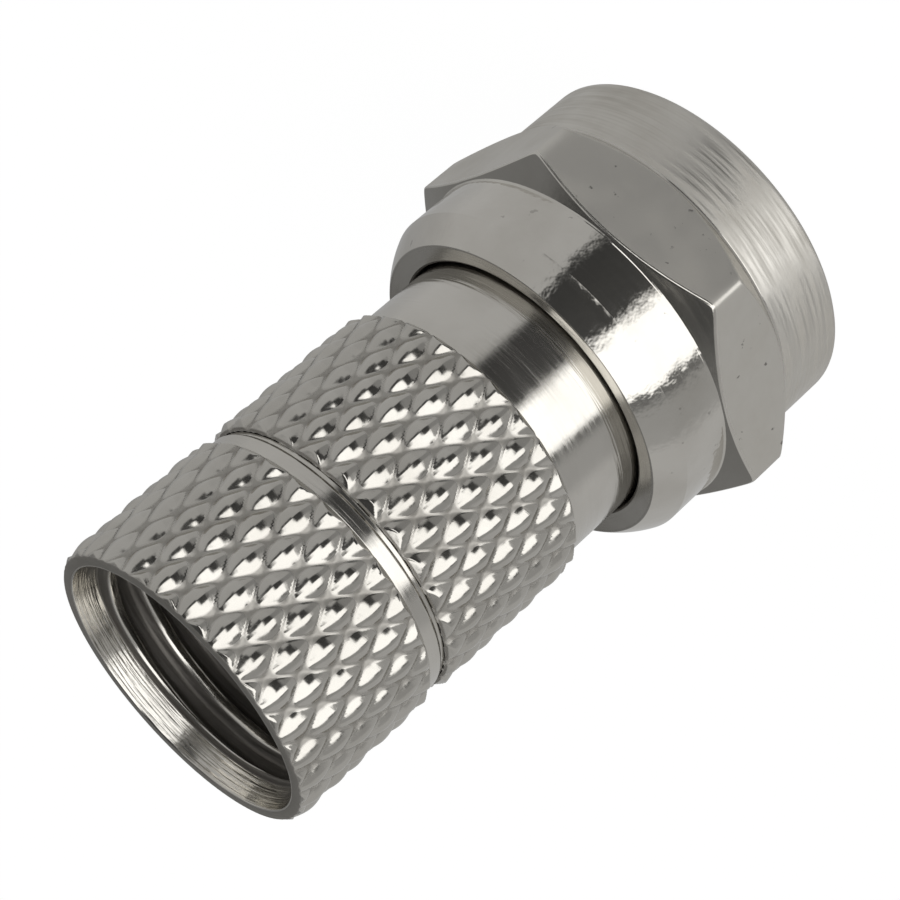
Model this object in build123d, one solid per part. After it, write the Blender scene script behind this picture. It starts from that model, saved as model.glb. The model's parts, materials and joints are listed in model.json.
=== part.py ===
from build123d import *

"""Twist-on F plug for satellite and aerial coaxial cable.

The plug is two turned pieces: a sleeve with a diamond knurl that screws onto the cable, and a
hexagonal coupling nut that spins freely on the sleeve's flange. The origin is the centre of the
nut's front face, +Z runs along the axis towards the mouth where the cable goes in, and +X runs
through a corner of the hexagon.
"""

from math import ceil, cos, pi, radians, sin, tan
import os

# Coupling nut, outside
hex_across_flats = 11.0
corner_truncation = 0.03      # how far the hexagon's corners are turned down
corner_length = 1.14          # length of the corners between the two shoulders
hex_front_slope = 46.0        # slope of the shoulder in front, from the axis
hex_rear_slope = 62.0         # slope of the shoulder behind, from the axis
front_collar_step = 0.07      # from the flats down to the collar
front_collar_length = 2.39
front_edge_chamfer = 0.16
rear_collar_step = 0.1
rear_edge_drop = 0.54         # how far the swaged rear edge is turned in
rear_edge_length = 1.0        # how much of the collar's length it takes
rear_dish = 0.12              # depth of the dished face inside that edge

# Coupling nut, inside
rear_wall = 0.62              # wall of the rear collar around the flange's pocket
thread_ledge = 0.4            # from the pocket in to the crest of the 3/8-32 thread
port_thread_length = 4.25
port_entry_chamfer = 0.42
lip_length = 0.45             # straight part of the lip that holds the flange

# Running clearances between nut and sleeve
lip_clearance = 0.08
flange_clearance = 0.08
axial_play = 0.15

# Sleeve, front end inside the nut
flange_step = 0.52            # from the flange down to the neck
flange_thickness = 1.02
flange_edge_chamfer = 0.12
shoulder_slope = 38.0         # slope of the cone behind the flange, from the axis
dielectric_chamfer = 0.25

# Sleeve, knurled bands and the groove between them
neck_reveal = 2.44            # length of smooth neck that shows between nut and knurl
knurl_rise = 0.3              # from the neck up to the flattened points of the knurl
knurl_depth = 0.15
knurl_flat_share = 0.38       # width of a point's flat, as a share of the point
knurl_teeth = 27
knurl_helix = 32.6            # angle of the furrows from the axis
front_band_length = 4.97
front_band_turn = 6.5         # turn of the first row of points about the axis
front_band_shift = 0.04       # length of the first row that lies before the band
rear_band_length = 4.73
rear_band_turn = 6.5
rear_band_shift = 0.74
band_chamfer = 0.18
groove_drop = 0.2             # from the knurl's points down to the groove
groove_width = 0.63

# Sleeve, inside
sleeve_wall = 0.97            # from the knurl's points in to the crest of the coarse thread
grip_thread_depth = 0.34      # of the coarse thread that bites into the cable's jacket
rim_taper = 0.15              # widening of the countersink towards the rim
countersink_depth = 0.76
cable_depth = 10.7
dielectric_ledge = 1.01       # from the cable bore in to the bore for the dielectric
drill_slope = 59.0            # slope of the cone at the end of the cable bore, from the axis

# Radii, from the hexagon inwards
front_collar_radius = hex_across_flats / 2 - front_collar_step
rear_collar_radius = hex_across_flats / 2 - rear_collar_step
corner_radius = hex_across_flats / 2 / cos(pi / 6) - corner_truncation
pocket_radius = rear_collar_radius - rear_wall
port_thread_radius = pocket_radius - thread_ledge
flange_radius = pocket_radius - flange_clearance
neck_radius = flange_radius - flange_step
lip_radius = neck_radius + lip_clearance
swaged_radius = rear_collar_radius - rear_edge_drop
knurl_radius = neck_radius + knurl_rise
groove_radius = knurl_radius - groove_drop
cable_radius = knurl_radius - sleeve_wall
countersink_inner_radius = cable_radius + grip_thread_depth
countersink_radius = countersink_inner_radius + rim_taper
dielectric_radius = cable_radius - dielectric_ledge

# Stations along the nut
hex_start = front_collar_length
corner_start = hex_start + (corner_radius - front_collar_radius) / tan(radians(hex_front_slope))
corner_end = corner_start + corner_length
hex_end = corner_end + (corner_radius - rear_collar_radius) / tan(radians(hex_rear_slope))
port_thread_end = port_entry_chamfer + port_thread_length

# Stations along the sleeve
flange_front = port_thread_end + axial_play
flange_back = flange_front + flange_thickness
shoulder_end = flange_back + (flange_radius - neck_radius) / tan(radians(shoulder_slope))
pocket_end = flange_back + axial_play
lip_start = pocket_end + (pocket_radius - lip_radius) / tan(radians(shoulder_slope))
lip_end = lip_start + lip_length
nut_length = lip_end + rear_dish
front_band_start = nut_length + neck_reveal
groove_start = front_band_start + front_band_length
rear_band_start = groove_start + groove_width
mouth = rear_band_start + rear_band_length


def turned(*outline):
    """Solid turned about the axis from its outline, given as (radius, height) points."""
    return revolve(make_face(Plane.XZ * Polyline(*outline, close=True)), Axis.Z)


def on_circle(radius, turn, height=0.0):
    """Point at a radius and a turn in radians about the axis."""
    return Vector(radius * cos(turn), radius * sin(turn), height)


def polygon(*corners):
    """Flat face between corners."""
    return Face(Wire.make_polygon(corners, close=True))


def knurl(rows, row_height):
    """Solid rod with a diamond knurl, standing on the middle of its first row of points.

    Each point is a four-sided pyramid with its tip cut flat. One pyramid is built as an upper and
    a lower half, and the halves are set around the rod and stacked, each row half a pitch on.
    """
    half_turn = pi / knurl_teeth
    root = knurl_radius - knurl_depth
    apex = root + knurl_depth / (1 - knurl_flat_share)
    side_corner = on_circle(root, half_turn)
    side_share = (apex - knurl_radius) / (apex - side_corner.X)
    flat_side = Vector(knurl_radius, side_share * side_corner.Y, 0)

    def half_point(way):
        """Two flanks and half of the flat, upwards or downwards."""
        end_corner = Vector(root, 0, way * row_height)
        flat_end = Vector(knurl_radius, 0, way * knurl_flat_share * row_height)
        flanks = [
            polygon(turn_side(side_corner, side), end_corner, flat_end, turn_side(flat_side, side))
            for side in (-1, 1)
        ]
        return flanks + [polygon(turn_side(flat_side, -1), turn_side(flat_side, 1), flat_end)]

    upper_half, lower_half = half_point(1), half_point(-1)
    facets = []
    for row in range(rows + 1):
        halves = (upper_half if row < rows else []) + (lower_half if row > 0 else [])
        for tooth in range(knurl_teeth):
            facets += [facet.moved(knurl_place(row, tooth, row_height)) for facet in halves]
    end_outline = []
    for tooth in range(knurl_teeth):
        place = Rotation(0, 0, knurl_angle(0, tooth))
        corners = (turn_side(side_corner, -1), turn_side(flat_side, -1), flat_side)
        end_outline += [(place * Pos(*corner)).position for corner in corners]
    end_face = polygon(*end_outline)
    facets += [end_face.moved(knurl_place(row, 0, row_height)) for row in (0, rows)]
    return Solid(Shell(facets))


def turn_side(point, side):
    """Point moved to the other side of the pyramid where side is minus one."""
    return Vector(point.X, side * point.Y, point.Z)


def knurl_angle(row, tooth):
    """Angle of one point about the axis, in degrees."""
    return 360 / knurl_teeth * (tooth + 0.5 * (row % 2))


def knurl_place(row, tooth, row_height):
    """Place of one point of the knurl."""
    return Location((0, 0, row * row_height), (0, 0, knurl_angle(row, tooth)))


def knurled_band(start, length, turn, shift):
    """Band with chamfered ends that the knurl runs out of.

    The blank that cuts the chamfers stands clear of the points everywhere else.
    """
    row_height = pi * knurl_radius / knurl_teeth / tan(radians(knurl_helix))
    rows = ceil((length + shift) / row_height) + 1
    rod = Pos(0, 0, start - shift) * Rotation(0, 0, turn) * knurl(rows, row_height)
    end_radius = knurl_radius - band_chamfer
    clear_radius = knurl_radius + knurl_depth
    clear_of_end = clear_radius - end_radius
    blank = turned(
        (0, start),
        (end_radius, start),
        (clear_radius, start + clear_of_end),
        (clear_radius, start + length - clear_of_end),
        (end_radius, start + length),
        (0, start + length),
    )
    return rod & blank


def sleeve_front():
    """Flange, cone and neck, up to the first knurled band."""
    return turned(
        (0, flange_front),
        (flange_radius - flange_edge_chamfer, flange_front),
        (flange_radius, flange_front + flange_edge_chamfer),
        (flange_radius, flange_back),
        (neck_radius, shoulder_end),
        (neck_radius, front_band_start),
        (0, front_band_start),
    )


def sleeve_bore():
    """Room for the cable's jacket, and the narrower way through for its dielectric."""
    floor = mouth - cable_depth
    drill_end = floor - (cable_radius - dielectric_radius) / tan(radians(drill_slope))
    return turned(
        (0, flange_front),
        (dielectric_radius + dielectric_chamfer, flange_front),
        (dielectric_radius, flange_front + dielectric_chamfer),
        (dielectric_radius, drill_end),
        (cable_radius, floor),
        (cable_radius, mouth - countersink_depth),
        (countersink_inner_radius, mouth - countersink_depth),
        (countersink_radius, mouth),
        (0, mouth),
    )


def knurled_sleeve():
    """Sleeve that is screwed onto the cable by its knurled bands."""
    front_band = knurled_band(front_band_start, front_band_length, front_band_turn, front_band_shift)
    rear_band = knurled_band(rear_band_start, rear_band_length, rear_band_turn, rear_band_shift)
    groove = turned(
        (0, groove_start),
        (groove_radius, groove_start),
        (groove_radius, rear_band_start),
        (0, rear_band_start),
    )
    return sleeve_front() + front_band + groove + rear_band - sleeve_bore()


def nut_outside():
    """Hexagon between two round collars, with turned shoulders at its corners."""
    swage_start = (rear_collar_radius, nut_length - rear_edge_length)
    swage_end = (swaged_radius, nut_length)
    below = Polyline(
        (0, nut_length),
        (0, 0),
        (front_collar_radius - front_edge_chamfer, 0),
        (front_collar_radius, front_edge_chamfer),
        (front_collar_radius, hex_start),
        (corner_radius, corner_start),
        (corner_radius, corner_end),
        (rear_collar_radius, hex_end),
        swage_start,
    )
    swage = TangentArc(swage_start, swage_end, tangent=(0, 1))
    above = Line(swage_end, (0, nut_length))
    body = revolve(make_face(Plane.XZ * (below + swage + above)), Axis.Z)
    hexagon = RegularPolygon(hex_across_flats / 2, 6, major_radius=False)
    return body & extrude(hexagon, nut_length)


def nut_bore():
    """Thread for the socket, pocket for the flange, the lip that keeps it in and the dished end."""
    return turned(
        (0, 0),
        (port_thread_radius + port_entry_chamfer, 0),
        (port_thread_radius, port_entry_chamfer),
        (port_thread_radius, port_thread_end),
        (pocket_radius, port_thread_end),
        (pocket_radius, pocket_end),
        (lip_radius, lip_start),
        (lip_radius, lip_end),
        (swaged_radius, nut_length),
        (0, nut_length),
    )


def coupling_nut():
    """Nut that draws the plug onto the socket and turns freely on the flange."""
    return nut_outside() - nut_bore()


os.makedirs("parts", exist_ok=True)
export_step(knurled_sleeve(), "parts/knurled_sleeve.step")
export_step(coupling_nut(), "parts/coupling_nut.step")
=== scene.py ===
"""Twist-on F plug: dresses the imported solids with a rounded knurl, cut threads and nickel plate.

The two turned pieces are swept about the plug's axis as rings of points. The knurl, the hexagon
and the threads are radius rules that the rings follow. The axis is +Z, with the cable mouth up.
"""

import json
from math import ceil, cos, hypot, pi, radians, sin, tan

import bpy
from bpy.props import FloatProperty, FloatVectorProperty, IntProperty, PointerProperty
from mathutils import Matrix, Vector


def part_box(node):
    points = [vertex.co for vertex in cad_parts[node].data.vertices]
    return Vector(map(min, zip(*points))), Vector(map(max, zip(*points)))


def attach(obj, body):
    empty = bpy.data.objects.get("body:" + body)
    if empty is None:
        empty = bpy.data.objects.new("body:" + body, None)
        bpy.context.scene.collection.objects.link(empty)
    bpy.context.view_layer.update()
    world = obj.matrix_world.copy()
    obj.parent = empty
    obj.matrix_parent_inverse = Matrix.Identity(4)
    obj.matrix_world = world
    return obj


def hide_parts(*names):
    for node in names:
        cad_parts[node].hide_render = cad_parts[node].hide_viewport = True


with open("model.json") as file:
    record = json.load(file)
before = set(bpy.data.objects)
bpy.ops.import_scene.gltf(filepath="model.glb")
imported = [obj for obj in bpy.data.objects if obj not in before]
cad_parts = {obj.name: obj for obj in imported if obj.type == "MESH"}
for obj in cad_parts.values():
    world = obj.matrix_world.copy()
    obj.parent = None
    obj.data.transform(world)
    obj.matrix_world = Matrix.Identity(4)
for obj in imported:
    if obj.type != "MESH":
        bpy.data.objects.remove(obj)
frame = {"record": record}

bl_info = {
    "name": "Twist-on F plug",
    "version": (1, 0, 0),
    "blender": (4, 5, 0),
    "location": "3D View > Sidebar > F plug",
    "description": "Builds the knurled sleeve, the coupling nut and the stage of a twist-on F plug",
    "category": "Object",
}

MM = 0.001
FULL_TURN = 2 * pi

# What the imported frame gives
sleeve_low, sleeve_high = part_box("knurled_sleeve")
_, nut_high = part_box("coupling_nut")
mounts = {mount["name"]: mount["dims"] for mount in frame["record"]["mounts"]}
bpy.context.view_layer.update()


def bore_radius(name):
    """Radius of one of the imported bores."""
    return mounts[name]["r_mm"] * MM


# Fineness of the meshes
POINT_STEPS = 18        # steps across one point of the knurl, both ways
CHAMFER_STEPS = 6       # steps along a chamfer of a knurled band
THREAD_STEPS = 12       # steps along one turn of a thread
SWAGE_STEPS = 12        # steps along the nut's swaged edge
EDGE_STEPS = 3          # steps across a rounded edge
CORNER_POINTS = EDGE_STEPS + 3      # points that a corner becomes when its edge is rounded
BORE_SEGMENTS = 81      # steps around the sleeve's bore, which divide half of the knurl's steps
NUT_SEGMENTS = 480      # steps around the nut, a multiple of the hexagon's six sides


def length(name, description, millimetres):
    """Property that holds a length."""
    return FloatProperty(name=name, description=description, default=millimetres * MM, min=0.0,
                         unit="LENGTH", precision=5)


def angle(name, description, value):
    """Property that holds an angle, given in degrees."""
    return FloatProperty(name=name, description=description, default=radians(value),
                         unit="ROTATION")


def amount(name, description, value):
    """Property that holds a plain number."""
    return FloatProperty(name=name, description=description, default=value, precision=3)


def tint(name, description, value):
    """Property that holds a colour."""
    return FloatVectorProperty(name=name, description=description, default=value, size=3,
                               subtype="COLOR", min=0.0, max=1.0)


class SleeveSizes(bpy.types.PropertyGroup):
    """Sizes of the knurled sleeve that its box doesn't give."""

    knurl_radius: length("Knurl radius", "To the tips of the knurl's points", 4.48)
    knurl_depth: length("Knurl depth", "From the tips to where the furrows cross", 0.25)
    point_rounding: amount("Point rounding", "Width of a point's rounded tip", 0.9)
    ridge_sharpness: amount("Ridge sharpness", "Higher leaves sharper ridges between flanks", 3)
    knurl_teeth: IntProperty(name="Points around", description="Points in one row of the knurl",
                             default=27, min=6)
    knurl_helix: angle("Knurl helix", "Angle of the furrows from the axis", 32.6)
    band_chamfer: length("Band chamfer", "Chamfer at both ends of each band", 0.18)
    front_band: length("Front band", "Length of the band next to the nut", 4.97)
    front_shift: length("Front shift", "How far the front band's first row lies before it", 0.04)
    front_turn: angle("Front turn", "Turn of the front band's first row", 6.5)
    rear_band: length("Rear band", "Length of the band at the mouth", 4.73)
    rear_shift: length("Rear shift", "How far the rear band's first row lies before it", 0.74)
    rear_turn: angle("Rear turn", "Turn of the rear band's first row", 6.5)
    groove_radius: length("Groove radius", "Plain groove between the bands", 4.28)
    groove_width: length("Groove width", "Width of the groove", 0.63)
    relief_depth: length("Relief depth", "Narrow cut at the groove's side next to the nut", 0.07)
    relief_width: length("Relief width", "Width of that cut", 0.15)
    neck_radius: length("Neck radius", "Smooth neck between nut and knurl", 4.18)
    flange_thickness: length("Flange thickness", "Flange that the nut turns on", 1.02)
    flange_chamfer: length("Flange chamfer", "Chamfer of the flange's front edge", 0.12)
    shoulder_slope: angle("Shoulder slope", "Cone behind the flange, from the axis", 38)
    countersink_radius: length("Countersink radius", "Mouth at its rim", 4.0)
    countersink_inner: length("Countersink inner radius", "Mouth where the thread starts", 3.85)
    countersink_depth: length("Countersink depth", "From the rim to the thread", 0.76)
    cable_depth: length("Cable depth", "Depth of the bore for the cable", 10.7)
    grip_length: length("Grip length", "Length of the thread that grips the cable", 7.7)
    grip_pitch: length("Grip pitch", "Pitch of the thread that grips the cable", 0.957)
    grip_crest: amount("Grip crest", "Share of the pitch that the thread's crest takes", 0.25)
    grip_root: amount("Grip root", "Share of the pitch that the thread's root takes", 0.4)
    grip_start: angle("Grip start", "Where around the mouth the thread starts", 200)
    edge: length("Edge", "Rounding of the turned edges", 0.03)


class NutSizes(bpy.types.PropertyGroup):
    """Sizes of the coupling nut that its box doesn't give."""

    corner_cut: length("Corner cut", "How far the hexagon's corners are turned down", 0.03)
    hex_length: length("Hexagon length", "Between the two collars, shoulders included", 2.49)
    front_slope: angle("Front slope", "Shoulder in front of the hexagon, from the axis", 46)
    rear_slope: angle("Rear slope", "Shoulder behind the hexagon, from the axis", 62)
    front_collar_radius: length("Front collar radius", "Round collar at the front", 5.43)
    front_collar_length: length("Front collar length", "Length of the front collar", 2.39)
    front_chamfer: length("Front chamfer", "Chamfer of the front rim", 0.16)
    rear_collar_radius: length("Rear collar radius", "Round collar at the rear", 5.4)
    rear_edge_drop: length("Rear edge drop", "How far the swaged rear edge is turned in", 0.54)
    swage_start: angle("Swage start", "Slope where the swage leaves the collar, from the axis", 24)
    swage_end: angle("Swage end", "Slope where the swage meets the end face, from the axis", 44)
    rear_dish: length("Rear dish", "Depth of the dished face inside the swaged edge", 0.12)
    thread_pitch: length("Thread pitch", "Pitch of the thread for the socket", 0.794)
    thread_depth: length("Thread depth", "Depth of the thread for the socket", 0.38)
    thread_crest: amount("Thread crest", "Share of the pitch that the crest takes", 0.2)
    thread_root: amount("Thread root", "Share of the pitch that the root takes", 0.2)
    thread_entry: length("Thread entry", "Chamfer where the socket enters", 0.42)
    pocket_clearance: length("Pocket clearance", "Around the sleeve's flange", 0.08)
    lip_clearance: length("Lip clearance", "Around the sleeve's neck", 0.08)
    lip_length: length("Lip length", "Straight part of the lip behind the flange", 0.45)
    play: length("Play", "Free play of the nut along the axis", 0.15)
    corner_sharpness: amount("Corner sharpness", "Higher leaves sharper corners", 150)
    edge: length("Edge", "Rounding of the machined edges", 0.05)


class NickelFinish(bpy.types.PropertyGroup):
    """Colour and surface of the nickel plate."""

    colour: tint("Nickel", "Colour of the plate", (0.62, 0.6, 0.556))
    stain: tint("Stain", "Colour of the plate where it has dulled", (0.56, 0.538, 0.493))
    # Also the colour of the painted shade in recesses
    speck_and_shade: tint("Speck", "Colour of the dark specks and the grime", (0.1, 0.09, 0.08))
    roughness: amount("Roughness", "Roughness of the bright plate", 0.1)
    # Roughness where the painted shade lies in recesses
    recess_roughness: amount("Recess roughness", "Roughness of the plate under grime", 0.55)
    mark_depth: length("Mark depth", "Depth of the turning marks", 0.003)
    mark_width: length("Mark width", "Width of the turning marks", 0.085)
    mark_length: length("Mark length", "Length of one turning mark around the axis", 2.2)
    peel_depth: length("Peel depth", "Depth of the plate's waviness", 0.008)
    peel_width: length("Peel width", "Width of the plate's waves", 0.6)
    stain_width: length("Stain width", "Width of the dull patches", 1.6)
    speck_width: length("Speck width", "Distance between specks", 0.35)


class StageSettings(bpy.types.PropertyGroup):
    """Camera, studio and floor."""

    azimuth: angle("Azimuth", "Camera's turn from +X towards +Y", 15.55)
    elevation: angle("Elevation", "Camera's height above the horizon", 24.37)
    roll: angle("Roll", "Camera's turn about its own line of sight", 131.39)
    distance: length("Distance", "From the camera to the plug's axis", 71.21)
    aim_height: length("Aim height", "Height on the axis that the camera looks at", 9.98)
    offset_right: length("Right", "How far the camera stands to the right of that line", 0.035)
    offset_up: length("Up", "How far the camera stands above that line", 0.078)
    lens: amount("Lens", "Focal length for a 36 mm sensor, in millimetres", 105.5)
    brightness: amount("Brightness", "Strength of a panel of the studio whose level is one", 2.6)
    floor_glow: amount("Floor glow", "Share of the floor that glows and takes no shadow", 0.95)


# Radius rules and outlines

def off_whole(value):
    """Distance to the nearest whole number, as a share of the largest there is."""
    return 2 * abs(value - round(value))


def knurl_height(turns, rise, rounding, sharpness):
    """Height of the knurl, from 0 where furrows cross to 1 on a tip.

    turns counts points around the axis and rise counts points along it. The furrows are sharp,
    and the ridges and the tips of the points are rounded.
    """
    first, second = off_whole(turns + rise), off_whole(turns - rise)
    away = (first ** sharpness + second ** sharpness) ** (1 / sharpness)
    farthest = 2 ** (1 / sharpness)
    return 1 - (hypot(away, rounding) - rounding) / (hypot(farthest, rounding) - rounding)


def thread_profile(turns, crest_share, root_share):
    """Depth of a thread, from 0 on its crest to 1 in its root, by turns along the axis."""
    flank = (off_whole(turns) - crest_share) / (1 - crest_share - root_share)
    flank = min(max(flank, 0), 1)
    return flank * flank * (3 - 2 * flank)


def between(start, end, steps):
    """Values from start to just before end, in even steps."""
    return [start + (end - start) * step / steps for step in range(steps)]


def rounded(outline, edge):
    """Closed outline of (radius, height, finish) points with its corners rounded.

    Every corner becomes the same number of points, with one more on each side that keeps the
    stretch between corners straight. A corner's finish is that of the stretch after it. Some
    outlines have corners that only close them, and their points are cut off from the result.
    """
    result = []
    for index, (*corner, finish) in enumerate(outline):
        corner = Vector(corner)
        before = Vector(outline[index - 1][:2]) - corner
        after = Vector(outline[(index + 1) % len(outline)][:2]) - corner
        reach_before = min(edge, before.length / 3)
        reach_after = min(edge, after.length / 3)
        start = corner + before.normalized() * reach_before
        end = corner + after.normalized() * reach_after
        points = [start + before.normalized() * reach_before / 3]
        for step in range(EDGE_STEPS + 1):
            along = step / EDGE_STEPS
            first = start.lerp(corner, along)
            points.append(first.lerp(corner.lerp(end, along), along))
        points.append(end + after.normalized() * reach_after / 3)
        result += [(*point, finish) for point in points]
    return result


def ring(count, radius_rule, height):
    """Level ring of points about the axis, with a radius for each angle."""
    points = []
    for turn in between(0, FULL_TURN, count):
        radius = radius_rule(turn)
        points.append((radius * cos(turn), radius * sin(turn), height))
    return points


def joined(coarse, fine, start_coarse, start_fine, flip):
    """Faces between two rings, the second with as many points as the first or a multiple.

    flip turns the faces over, for two rings that follow each other the other way round.
    """
    ratio = fine // coarse
    faces = []
    for index in range(coarse):
        here = start_coarse + index
        after = start_coarse + (index + 1) % coarse
        row = [start_fine + (index * ratio + step) % fine for step in range(ratio + 1)]
        if ratio == 1:
            faces.append((here, after, row[1], row[0]))
            continue
        half = ratio // 2
        faces += [(here, row[step + 1], row[step]) for step in range(half)]
        faces.append((here, after, row[half]))
        faces += [(after, row[step + 1], row[step]) for step in range(half, ratio)]
    return [face[::-1] for face in faces] if flip else faces


def swept(name, rings, materials):
    """Mesh object from rings, each (points, finish), of which the last joins the first.

    materials holds the material of every finish.
    """
    vertices, faces, slots, starts = [], [], [], []
    for points, _ in rings:
        starts.append(len(vertices))
        vertices += points
    names = list(materials)
    for index in range(len(rings)):
        after = (index + 1) % len(rings)
        (low, finish), (high, _) = rings[index], rings[after]
        if len(low) <= len(high):
            made = joined(len(low), len(high), starts[index], starts[after], False)
        else:
            made = joined(len(high), len(low), starts[after], starts[index], True)
        faces += made
        slots += [names.index(finish)] * len(made)
    mesh = bpy.data.meshes.new(name)
    mesh.from_pydata(vertices, [], faces)
    for material in materials.values():
        mesh.materials.append(material)
    mesh.polygons.foreach_set("material_index", slots)
    mesh.shade_smooth()
    mesh.update()
    piece = bpy.data.objects.new(name, mesh)
    bpy.context.scene.collection.objects.link(piece)
    return piece


# Knurled sleeve

class KnurledBand:
    """One knurled band: where it lies, and how far its surface stands from the axis."""

    def __init__(self, sizes, start, band_length, shift, turn):
        self.sizes = sizes
        self.start = start
        self.end = start + band_length
        self.first_row = start - shift
        self.turn = turn
        pitch = FULL_TURN * sizes.knurl_radius / sizes.knurl_teeth
        self.row_pitch = pitch / tan(sizes.knurl_helix)

    def radius(self, turn, height):
        """Radius of the knurl's surface."""
        sizes = self.sizes
        turns = (turn - self.turn) / FULL_TURN * sizes.knurl_teeth
        rise = (height - self.first_row) / self.row_pitch
        high = knurl_height(turns, rise, sizes.point_rounding, sizes.ridge_sharpness)
        return sizes.knurl_radius - sizes.knurl_depth * (1 - high)

    def heights(self):
        """Heights of the rings: even in the chamfers, and on the knurl's own steps between.

        Where one of those steps comes too near to a chamfer, it is left out.
        """
        chamfer = self.sizes.band_chamfer
        step = self.row_pitch / POINT_STEPS
        nearest = 0.25
        low, high = self.start + chamfer, self.end - chamfer
        first = ceil((low - self.first_row) / step + nearest)
        last = ceil((high - self.first_row) / step - nearest)
        inner = [self.first_row + step * index for index in range(first, last)]
        front_chamfer = between(self.start, low, CHAMFER_STEPS) + [low]
        rear_chamfer = between(high, self.end, CHAMFER_STEPS) + [self.end]
        return front_chamfer + inner + rear_chamfer

    def limit(self, height):
        """Radius of the band's turned blank at a height."""
        sizes = self.sizes
        inside = min(height - self.start, self.end - height, sizes.band_chamfer)
        return sizes.knurl_radius - sizes.band_chamfer + inside

    def rings(self):
        """Rings of the band, from its front end to its rear end."""
        count = self.sizes.knurl_teeth * POINT_STEPS
        for height in self.heights():
            blank = self.limit(height)
            yield ring(count, lambda turn: min(self.radius(turn, height), blank), height), "knurled"


def plain_rings(outline, count):
    """Round rings along an outline of (radius, height, finish) points."""
    for radius, height, finish in outline:
        yield ring(count, lambda turn: radius, height), finish


def grip_rings(sizes, crest, start):
    """Rings down the thread that grips the cable."""
    steps = round(sizes.grip_length / sizes.grip_pitch * THREAD_STEPS)
    depth = sizes.countersink_inner - crest
    for step in range(steps + 1):
        down = sizes.grip_length * step / steps
        fade = min((sizes.grip_length - down) / sizes.grip_pitch, 1)

        def radius(turn):
            turns = down / sizes.grip_pitch + (turn - sizes.grip_start) / FULL_TURN
            return crest + depth * fade * thread_profile(turns, sizes.grip_crest, sizes.grip_root)

        yield ring(BORE_SEGMENTS, radius, start - down), "bored"


def sleeve_rings(sizes):
    """Every ring of the sleeve: up its outside and down its bore."""
    flange_front, mouth = sleeve_low.z, sleeve_high.z
    flange_radius = sleeve_high.x
    cable_radius = bore_radius("cable_bore")
    dielectric_radius = bore_radius("dielectric_bore")
    flange_back = flange_front + sizes.flange_thickness
    rear_start = mouth - sizes.rear_band
    groove_start = rear_start - sizes.groove_width
    front_start = groove_start - sizes.front_band
    shoulder_length = (flange_radius - sizes.neck_radius) / tan(sizes.shoulder_slope)
    front_end = rounded([
        (dielectric_radius, flange_front, "neck"),
        (flange_radius - sizes.flange_chamfer, flange_front, "neck"),
        (flange_radius, flange_front + sizes.flange_chamfer, "neck"),
        (flange_radius, flange_back, "neck"),
        (sizes.neck_radius, flange_back + shoulder_length, "neck"),
        (sizes.neck_radius, front_start, "neck"),
        (dielectric_radius, front_start, "neck"),
    ], sizes.edge)[CORNER_POINTS:-CORNER_POINTS]
    relief_radius = sizes.groove_radius - sizes.relief_depth
    relief_end = groove_start + sizes.relief_width
    groove = rounded([
        (relief_radius, groove_start, "neck"),
        (relief_radius, relief_end, "neck"),
        (sizes.groove_radius, relief_end + sizes.relief_depth, "neck"),
        (sizes.groove_radius, rear_start, "neck"),
        (0, rear_start, "neck"),
        (0, groove_start, "neck"),
    ], sizes.edge)[:4 * CORNER_POINTS]
    front_band = KnurledBand(sizes, front_start, sizes.front_band, sizes.front_shift,
                             sizes.front_turn)
    rear_band = KnurledBand(sizes, rear_start, sizes.rear_band, sizes.rear_shift,
                            sizes.rear_turn)
    thread_start = mouth - sizes.countersink_depth
    rim = rounded([
        (sizes.countersink_radius, mouth, "countersink"),
        (sizes.countersink_inner, thread_start, "bored"),
        (cable_radius, thread_start, "bored"),
        (flange_radius, mouth, "bored"),
    ], sizes.edge)[:2 * CORNER_POINTS]
    bore_end = mouth - sizes.cable_depth
    bore = rounded([
        (cable_radius, thread_start, "bored"),
        (cable_radius, bore_end, "bored"),
        (dielectric_radius, bore_end - (cable_radius - dielectric_radius), "bored"),
        (dielectric_radius, flange_front, "bored"),
        (flange_radius, flange_front, "bored"),
    ], sizes.edge)[CORNER_POINTS:4 * CORNER_POINTS]
    half = sizes.knurl_teeth * POINT_STEPS // 2
    rings = list(plain_rings(front_end, half))
    rings += front_band.rings()
    rings += plain_rings(groove, half)
    rings += rear_band.rings()
    rings += plain_rings(rim, half)
    rings += grip_rings(sizes, cable_radius, thread_start - sizes.edge)
    rings += plain_rings(bore, BORE_SEGMENTS)
    return rings


# Coupling nut

def hexagon_radius(sizes, turn):
    """Radius of the hexagon with its turned-down corners, the first of them on +X."""
    across = nut_high.y
    sixth = FULL_TURN / 6
    flat = across / cos((turn % sixth) - sixth / 2)
    corner = across / cos(sixth / 2) - sizes.corner_cut
    sharp = sizes.corner_sharpness
    return ((flat / across) ** -sharp + (corner / across) ** -sharp) ** (-1 / sharp) * across


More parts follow.
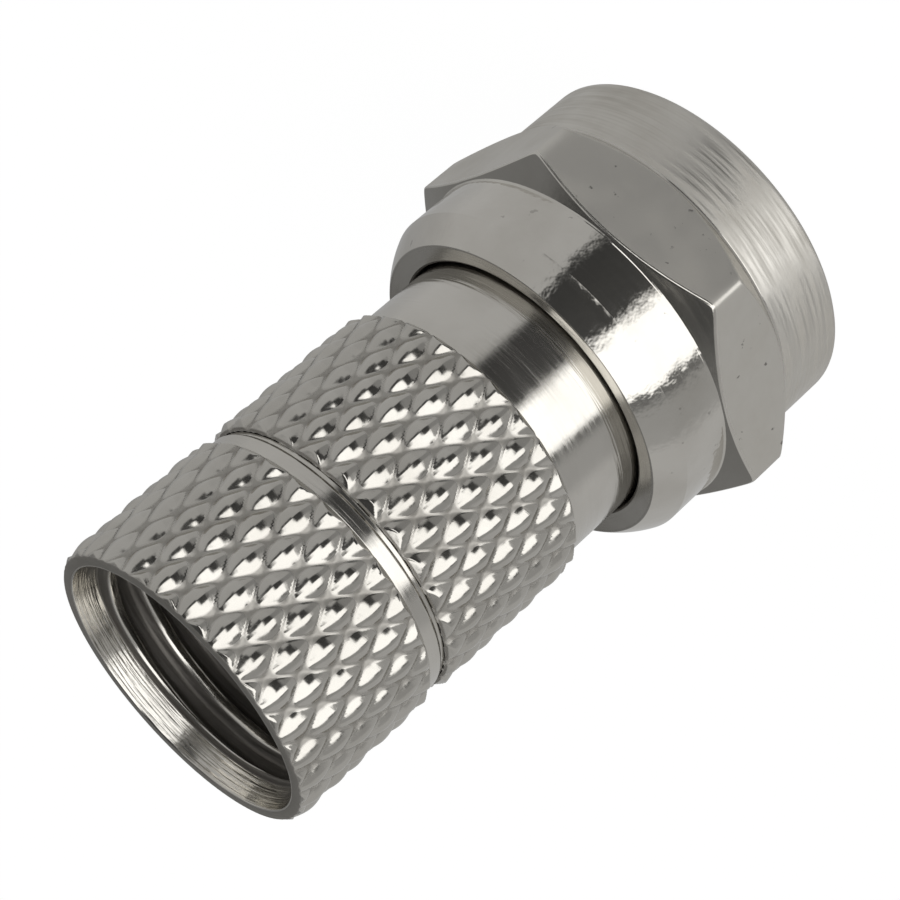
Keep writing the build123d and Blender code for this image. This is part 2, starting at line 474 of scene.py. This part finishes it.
def nut_outline(sizes, sleeve, turn):
    """Outline of the nut at one angle: up its outside and down its inside."""
    top = nut_high.z
    corner = hexagon_radius(sizes, turn)
    front, rear = sizes.front_collar_radius, sizes.rear_collar_radius
    hex_start = sizes.front_collar_length
    hex_end = hex_start + sizes.hex_length
    drop, first, last = sizes.rear_edge_drop, sizes.swage_start, sizes.swage_end
    bend = drop / (cos(first) - cos(last))
    swage = [
        (rear - bend * (cos(first) - cos(lean)), top - bend * (sin(last) - sin(lean)), "rear_collar")
        for lean in between(first, last, SWAGE_STEPS)
    ]
    # Points a hair away on both sides keep the edge crisp where the swage leaves the collar
    start = swage[0][1]
    hair = sizes.edge / 50
    collar_end = (rear, start - hair, "rear_collar")
    swage.insert(1, (rear - hair * sin(first), start + hair * cos(first), "rear_collar"))
    crest = bore_radius("port_thread")
    pocket_radius = sleeve_high.x + sizes.pocket_clearance
    pocket_start = sleeve_low.z - sizes.play
    pocket_end = sleeve_low.z + sleeve.flange_thickness + sizes.play
    lip_radius = sleeve.neck_radius + sizes.lip_clearance
    lip_end = top - sizes.rear_dish
    outside = rounded([
        (crest + sizes.thread_entry, 0, "front_collar"),
        (front - sizes.front_chamfer, 0, "front_collar"),
        (front, sizes.front_chamfer, "front_collar"),
        (front, hex_start, "shoulder"),
        (corner, hex_start + (corner - front) / tan(sizes.front_slope), "hexagon"),
        (corner, hex_end - (corner - rear) / tan(sizes.rear_slope), "shoulder"),
        (rear, hex_end, "rear_collar"),
        swage[0],
        (0, top, "rear_collar"),
    ], sizes.edge)[:-2 * CORNER_POINTS]
    inside = rounded([
        swage[-1],
        (rear - drop, top, "rear_face"),
        (lip_radius, lip_end, "bored"),
        (lip_radius, lip_end - sizes.lip_length, "bored"),
        (pocket_radius, pocket_end, "bored"),
        (pocket_radius, pocket_start, "bored"),
        (crest, pocket_start, "bored"),
        (crest, 0, "bored"),
    ], sizes.edge)[CORNER_POINTS:-CORNER_POINTS]
    return outside + [collar_end] + swage + inside


def nut_rings(sizes, sleeve):
    """Every ring of the nut: up its outside, down its inside and through its thread."""
    turns = between(0, FULL_TURN, NUT_SEGMENTS)
    outlines = [nut_outline(sizes, sleeve, turn) for turn in turns]
    rings = []
    for place in range(len(outlines[0])):
        points = []
        for turn, outline in zip(turns, outlines):
            radius, height, finish = outline[place]
            points.append((radius * cos(turn), radius * sin(turn), height))
        rings.append((points, finish))
    crest = bore_radius("port_thread")
    start = sleeve_low.z - sizes.play - sizes.edge
    entry = sizes.thread_entry
    steps = round(start / sizes.thread_pitch * THREAD_STEPS)
    for step in range(1, steps):
        height = start * (1 - step / steps)
        mouth_radius = crest + max(entry - height, 0)
        fade = min((start - height) / sizes.thread_pitch, 1)

        def radius(turn):
            along = height / sizes.thread_pitch - turn / FULL_TURN
            cut = fade * thread_profile(along, sizes.thread_crest, sizes.thread_root)
            return max(crest + sizes.thread_depth * cut, mouth_radius)

        rings.append((ring(NUT_SEGMENTS // 2, radius, height), "bored"))
    return rings


# Nickel plate

# Noise levels where a mark of the plate begins and where it is full, and what it does there
STAIN_LEVELS = (0.4, 0.75)
STAIN_ROUGHNESS = 1.3           # as a share of the bright plate's
SPECK_LEVELS = (0.69, 0.72)
TURNING_LEVELS = (0.35, 0.65)
TURNING_ROUGHNESS = (0.7, 1.3)  # as shares of the plate's, in the valleys and on the ridges


class Surface:
    """How one kind of surface differs from plain nickel plate.

    marks, peel and roughness are shares of the plate's own values, and shade is the share of its
    colour that is kept, a painted shade. specks say how dark those are. The last three say how dark
    the painted shade in recesses is, the radius where it ends and the radius from which it is full.
    """

    def __init__(self, marks, peel, roughness, shade=1.0, specks=0.0, recess_shade=0.0, clean=1.0,
                 full_shade_radius=0.0):
        self.marks = marks
        self.peel = peel
        self.roughness = roughness
        self.shade = shade
        self.specks = specks
        self.recess_shade = recess_shade
        self.clean = clean * MM
        self.full_shade_radius = full_shade_radius * MM


SURFACES = {
    "neck": Surface(marks=3.0, peel=0.5, roughness=1.4),
    # The knurl's colours are darkened as a whole by shade, and more in its furrows: painted shade
    "knurled": Surface(marks=0.5, peel=1.5, roughness=1.2, shade=0.88, recess_shade=0.25, clean=4.35,
                       full_shade_radius=4.31),
    "countersink": Surface(marks=4.0, peel=1.5, roughness=1.4, specks=0.6),
    # Painted shade all through the bores, except on the sleeve's thread crests
    "bored": Surface(marks=3.0, peel=0.5, roughness=1.8, recess_shade=0.8, clean=3.52, full_shade_radius=3.58),
    "front_collar": Surface(marks=0.35, peel=1.0, roughness=4.6),
    "hexagon": Surface(marks=0.0, peel=0.5, roughness=3.9, specks=0.7),
    "shoulder": Surface(marks=0.5, peel=1.0, roughness=1.4),
    "rear_collar": Surface(marks=0.3, peel=2.5, roughness=0.8, specks=0.3),
    "rear_face": Surface(marks=0.5, peel=0.6, roughness=2.0),
}


class Nodes:
    """Node tree of a material or of the world, with short ways to add to it."""

    def __init__(self, tree):
        self.nodes, self.links = tree.nodes, tree.links

    def add(self, kind, **settings):
        """New node with its settings."""
        node = self.nodes.new(kind)
        for key, value in settings.items():
            setattr(node, key, value)
        return node

    def feed(self, value, socket):
        """Link another node's output to a socket, or set the socket to a plain value."""
        if isinstance(value, bpy.types.NodeSocket):
            self.links.new(value, socket)
        else:
            socket.default_value = value

    def maths(self, operation, *values):
        """Result of a maths node."""
        node = self.add("ShaderNodeMath", operation=operation)
        for value, socket in zip(values, node.inputs):
            self.feed(value, socket)
        return node.outputs["Value"]

    def mapped(self, source, low, high, start=0.0, end=1.0):
        """Value mapped from low and high to start and end."""
        node = self.add("ShaderNodeMapRange")
        names = ("Value", "From Min", "From Max", "To Min", "To Max")
        for name, value in zip(names, (source, low, high, start, end)):
            self.feed(value, node.inputs[name])
        return node.outputs["Result"]

    def passed(self, angle, limits):
        """Share of the way between two limits in degrees that an angle has gone."""
        return self.mapped(angle, *(radians(limit) for limit in limits))

    def blend(self, share, first, second):
        """Colour between two."""
        node = self.add("ShaderNodeMix", data_type="RGBA")
        for name, value in (("Factor", share), ("A", first), ("B", second)):
            self.feed(value, node.inputs[name])
        return node.outputs["Result"]

    def ramp(self, share, panels):
        """Grey levels all around, each panel given as (degrees, level)."""
        node = self.add("ShaderNodeValToRGB")
        self.links.new(share, node.inputs["Fac"])
        elements = node.color_ramp.elements
        while len(elements) < len(panels):
            elements.new(0.5)
        for element, (degrees, level) in zip(elements, panels):
            element.position = (degrees + 180) / 360
            element.color = grey(level)
        return node.outputs["Color"]


def grey(level):
    """Grey colour of a level."""
    return level, level, level, 1


class Plate(Nodes):
    """Node material of metal."""

    def __init__(self, name):
        self.material = bpy.data.materials.new(name)
        self.material.use_nodes = True
        super().__init__(self.material.node_tree)
        self.shader = self.nodes["Principled BSDF"]
        self.shader.inputs["Metallic"].default_value = 1.0
        self.place = self.add("ShaderNodeTexCoord").outputs["Object"]

    def noise(self, width, detail, place=None):
        """Noise with features of a width."""
        node = self.add("ShaderNodeTexNoise")
        self.feed(place or self.place, node.inputs["Vector"])
        self.feed(1 / width, node.inputs["Scale"])
        self.feed(detail, node.inputs["Detail"])
        return node.outputs["Fac"]

    def coordinates(self):
        """Distances across, along and up from the origin, and the radius from the axis."""
        split = self.add("ShaderNodeSeparateXYZ")
        self.feed(self.place, split.inputs["Vector"])
        across, along, height = split.outputs
        squares = [self.maths("MULTIPLY", side, side) for side in (across, along)]
        return across, along, height, self.maths("SQRT", self.maths("ADD", *squares))

    def along_cut(self, shrink):
        """Place with its turns about the axis drawn out, so that noise becomes turning marks."""
        across, along, height, radius = self.coordinates()
        drawn = self.add("ShaderNodeCombineXYZ")
        for side, socket in zip((across, along), drawn.inputs):
            self.feed(self.maths("MULTIPLY", side, shrink), socket)
        self.feed(self.maths("ADD", height, radius), drawn.inputs["Z"])
        return drawn.outputs["Vector"]

    def bump(self, height, depth, normal=None):
        """Normal bent by a height."""
        node = self.add("ShaderNodeBump")
        self.feed(height, node.inputs["Height"])
        self.feed(depth, node.inputs["Distance"])
        if normal is not None:
            self.feed(normal, node.inputs["Normal"])
        return node.outputs["Normal"]


def nickel(name, surface):
    """Nickel plate, with turning marks around the axis, faint waves, dull patches, specks and painted
    shade.
    """
    look = bpy.context.scene.f_plug_nickel
    plate = Plate(name)
    rough = look.roughness * surface.roughness
    dull = plate.mapped(plate.noise(look.stain_width, detail=5), *STAIN_LEVELS)
    roughness = plate.mapped(dull, 0.0, 1.0, rough, rough * STAIN_ROUGHNESS)
    normal = plate.bump(plate.noise(look.peel_width, detail=3), look.peel_depth * surface.peel)
    if surface.marks:
        drawn = plate.along_cut(look.mark_width / look.mark_length)
        marks = plate.noise(look.mark_width, detail=2, place=drawn)
        normal = plate.bump(marks, look.mark_depth * surface.marks, normal)
        share = plate.mapped(marks, *TURNING_LEVELS, *TURNING_ROUGHNESS)
        roughness = plate.maths("MULTIPLY", roughness, share)
    # shade darkens the colours: painted shade
    bright, stained = [
        (*(part * surface.shade for part in colour), 1) for colour in (look.colour, look.stain)
    ]
    colour = plate.blend(dull, bright, stained)
    # Painted shade in recesses, growing between two radii; the plate is rougher there too
    if surface.recess_shade:
        radius = plate.coordinates()[-1]
        recess_shade = plate.mapped(radius, surface.clean, surface.full_shade_radius, 0.0, surface.recess_shade)
        colour = plate.blend(recess_shade, colour, (*look.speck_and_shade, 1))
        dulled = plate.mapped(radius, surface.clean, surface.full_shade_radius, 0.0, look.recess_roughness)
        roughness = plate.maths("MAXIMUM", roughness, dulled)
    if surface.specks:
        spots = plate.noise(look.speck_width, detail=4)
        specks = plate.mapped(spots, *SPECK_LEVELS, 0.0, surface.specks)
        colour = plate.blend(specks, colour, (*look.speck_and_shade, 1))
    plate.feed(colour, plate.shader.inputs["Base Color"])
    plate.feed(roughness, plate.shader.inputs["Roughness"])
    plate.feed(normal, plate.shader.inputs["Normal"])
    return plate.material


def finishes(*names):
    """Materials of some kinds of surface."""
    return {name: nickel(name + "_nickel", SURFACES[name]) for name in names}


class BuildSleeve(bpy.types.Operator):
    """Build the knurled sleeve in place of its plain solid"""

    bl_idname = "f_plug.sleeve"
    bl_label = "Knurled sleeve"

    def execute(self, context):
        sizes = context.scene.f_plug_sleeve
        rings = sleeve_rings(sizes)
        materials = finishes("neck", "knurled", "countersink", "bored")
        piece = swept("sleeve_turned", rings, materials)
        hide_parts("knurled_sleeve")
        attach(piece, "sleeve")
        return {"FINISHED"}


class BuildNut(bpy.types.Operator):
    """Build the coupling nut in place of its plain solid"""

    bl_idname = "f_plug.nut"
    bl_label = "Coupling nut"

    def execute(self, context):
        sizes = context.scene.f_plug_nut
        rings = nut_rings(sizes, context.scene.f_plug_sleeve)
        materials = finishes("front_collar", "hexagon", "shoulder", "rear_collar", "rear_face", "bored")
        piece = swept("nut_turned", rings, materials)
        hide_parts("coupling_nut")
        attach(piece, "nut")
        return {"FINISHED"}


# Stage

# The studio's panels in four rows, each panel given as (degrees, level). The degrees are the turn
# from the camera of a mirror that shows the panel to it, and such a mirror's tilt picks the row.
LEVEL_PANELS = (
    (-180, 0.17), (-84, 0.2), (-47, 0.215), (-42, 0.165), (-32, 0.16), (-28, 0.07), (-26.5, 0.07),
    (-25, 0.72), (-6.5, 0.72), (-3, 0.03), (16.6, 0.02), (18.6, 0.205), (59, 0.21), (64, 0.19),
    (83, 0.15), (180, 0.15),
)
LOW_PANELS = (
    (-180, 0.17), (-84, 0.2), (-47, 0.2), (-24, 0.18), (-8, 0.18), (-3, 0.13), (16.6, 0.13),
    (18.6, 0.19), (59, 0.2), (83, 0.15), (180, 0.15),
)
MIDDLE_PANELS = (
    (-180, 0.17), (-84, 0.2), (-47, 0.215), (-42, 0.165), (-29, 0.165), (-26, 0.72), (12, 0.72),
    (15, 0.03), (23, 0.03), (26, 0.2), (59, 0.21), (64, 0.19), (83, 0.15), (180, 0.15),
)
HIGH_PANELS = ((-180, 0.09), (-40, 0.08), (-20, 0.035), (30, 0.03), (40, 0.08), (180, 0.1))
LEVEL_BELOW = 0.16

# Tilts in degrees where one row gives way to the next
LOW_TILTS = (-26, -22)
LEVEL_TILTS = (-10.5, -8.5)
MIDDLE_TILT = 14
MIDDLE_REACH = (9, 5)           # away from the middle tilt, both ways
HIGH_TILTS = (45, 49)

FLOOR_REACH = 2.0               # from the plug to the floor's edges
FLOOR_DROP = 0.02 * MM          # keeps the floor clear of the nut's rim
FLOOR_COLOUR = (0.9, 0.9, 0.9, 1)
GLOW_STRENGTH = 1.035           # makes up for the share of the floor that doesn't glow

CLIP_START = 1 * MM             # what the camera sees lies between these distances
CLIP_END = 10.0


def towards_camera(settings):
    """Direction from the plug to the camera."""
    return Vector((
        cos(settings.elevation) * cos(settings.azimuth),
        cos(settings.elevation) * sin(settings.azimuth),
        sin(settings.elevation),
    ))


def studio(settings):
    """World of bright and dark panels around grey, and plain white where the camera sees it.

    The panels are laid out by where a mirror must face to show them to the camera: by its turn from
    the camera about the axis, and by its tilt towards the mouth.
    """
    world = bpy.data.worlds.new("studio")
    bpy.context.scene.world = world
    world.use_nodes = True
    tree = Nodes(world.node_tree)
    halfway = tree.add("ShaderNodeVectorMath", operation="ADD")
    tree.feed(tree.add("ShaderNodeTexCoord").outputs["Generated"], halfway.inputs[0])
    tree.feed(towards_camera(settings), halfway.inputs[1])
    mirror = tree.add("ShaderNodeVectorMath", operation="NORMALIZE")
    tree.feed(halfway.outputs["Vector"], mirror.inputs[0])
    split = tree.add("ShaderNodeSeparateXYZ")
    tree.feed(mirror.outputs["Vector"], split.inputs["Vector"])
    across, along, height = split.outputs
    turn = tree.maths("SUBTRACT", tree.maths("ARCTAN2", along, across), settings.azimuth)
    share = tree.mapped(tree.maths("WRAP", turn, pi, -pi), -pi, pi)
    tilt = tree.maths("ARCSINE", height)
    off_middle = tree.maths("ABSOLUTE", tree.maths("SUBTRACT", tilt, radians(MIDDLE_TILT)))
    panels = grey(LEVEL_BELOW)
    for angle_passed, limits, row in (
        (tilt, LOW_TILTS, LOW_PANELS),
        (tilt, LEVEL_TILTS, LEVEL_PANELS),
        (off_middle, MIDDLE_REACH, MIDDLE_PANELS),
        (tilt, HIGH_TILTS, HIGH_PANELS),
    ):
        panels = tree.blend(tree.passed(angle_passed, limits), panels, tree.ramp(share, row))
    scaled = tree.add("ShaderNodeVectorMath", operation="SCALE")
    tree.feed(panels, scaled.inputs[0])
    tree.feed(settings.brightness, scaled.inputs["Scale"])
    seen = tree.add("ShaderNodeLightPath").outputs["Is Camera Ray"]
    shown = tree.blend(seen, scaled.outputs["Vector"], grey(1))
    tree.feed(shown, tree.nodes["Background"].inputs["Color"])


def floor(settings):
    """Pale floor under the plug that takes its faint shadow, and that the plate doesn't mirror."""
    mesh = bpy.data.meshes.new("floor")
    sides = ((-1, -1), (1, -1), (1, 1), (-1, 1))
    corners = [(across * FLOOR_REACH, along * FLOOR_REACH, 0) for across, along in sides]
    mesh.from_pydata(corners, [], [(0, 1, 2, 3)])
    plane = bpy.data.objects.new("floor", mesh)
    bpy.context.scene.collection.objects.link(plane)
    plane.location.z = -FLOOR_DROP
    plane.visible_glossy = False
    plane.visible_shadow = False
    material = bpy.data.materials.new("pale_floor")
    material.use_nodes = True
    tree = Nodes(material.node_tree)
    tree.nodes.remove(tree.nodes["Principled BSDF"])
    diffuse = tree.add("ShaderNodeBsdfDiffuse")
    tree.feed(FLOOR_COLOUR, diffuse.inputs["Color"])
    glow = tree.add("ShaderNodeEmission")
    tree.feed(GLOW_STRENGTH, glow.inputs["Strength"])
    mixed = tree.add("ShaderNodeMixShader")
    shares = (settings.floor_glow, diffuse.outputs["BSDF"], glow.outputs["Emission"])
    for share, socket in zip(shares, mixed.inputs):
        tree.feed(share, socket)
    tree.feed(mixed.outputs["Shader"], tree.nodes["Material Output"].inputs["Surface"])
    mesh.materials.append(material)


def camera(settings):
    """Camera at the photograph's viewing angle."""
    data = bpy.data.cameras.new("camera")
    data.lens = settings.lens
    data.clip_start = CLIP_START
    data.clip_end = CLIP_END
    placed = bpy.data.objects.new("camera", data)
    aim = Vector((0, 0, settings.aim_height))
    upright = (-towards_camera(settings)).to_track_quat("-Z", "Y").to_matrix().to_4x4()
    rolled = Matrix.Rotation(-settings.roll, 4, "Z")
    stand = Vector((settings.offset_right, settings.offset_up, settings.distance))
    placed.matrix_world = Matrix.Translation(aim) @ upright @ rolled @ Matrix.Translation(stand)
    bpy.context.scene.collection.objects.link(placed)
    bpy.context.scene.camera = placed


class BuildStage(bpy.types.Operator):
    """Build the floor, the studio's light and the camera"""

    bl_idname = "f_plug.stage"
    bl_label = "Stage"

    def execute(self, context):
        settings = context.scene.f_plug_stage
        context.scene.view_settings.view_transform = "Standard"
        studio(settings)
        floor(settings)
        camera(settings)
        return {"FINISHED"}


class PlugPanel(bpy.types.Panel):
    """Panel with the plug's settings"""

    bl_idname = "F_PLUG_PT_panel"
    bl_label = "Twist-on F plug"
    bl_space_type = "VIEW_3D"
    bl_region_type = "UI"
    bl_category = "F plug"

    def draw(self, context):
        for attribute, _ in GROUPS:
            group = getattr(context.scene, attribute)
            box = self.layout.box()
            for name in group.__annotations__:
                box.prop(group, name)
        for operator in OPERATORS:
            self.layout.operator(operator.bl_idname)


GROUPS = (
    ("f_plug_sleeve", SleeveSizes),
    ("f_plug_nut", NutSizes),
    ("f_plug_nickel", NickelFinish),
    ("f_plug_stage", StageSettings),
)
OPERATORS = (BuildSleeve, BuildNut, BuildStage)


def register():
    """Registers the settings, the operators and the panel."""
    for attribute, group in GROUPS:
        bpy.utils.register_class(group)
        setattr(bpy.types.Scene, attribute, PointerProperty(type=group))
    for operator in OPERATORS:
        bpy.utils.register_class(operator)
    bpy.utils.register_class(PlugPanel)


def unregister():
    """Takes away what register added."""
    bpy.utils.unregister_class(PlugPanel)
    for operator in reversed(OPERATORS):
        bpy.utils.unregister_class(operator)
    for attribute, group in reversed(GROUPS):
        delattr(bpy.types.Scene, attribute)
        bpy.utils.unregister_class(group)


def main():
    """Builds the whole scene."""
    register()
    bpy.ops.f_plug.sleeve()
    bpy.ops.f_plug.nut()
    bpy.ops.f_plug.stage()


if __name__ == "__main__":
    main()
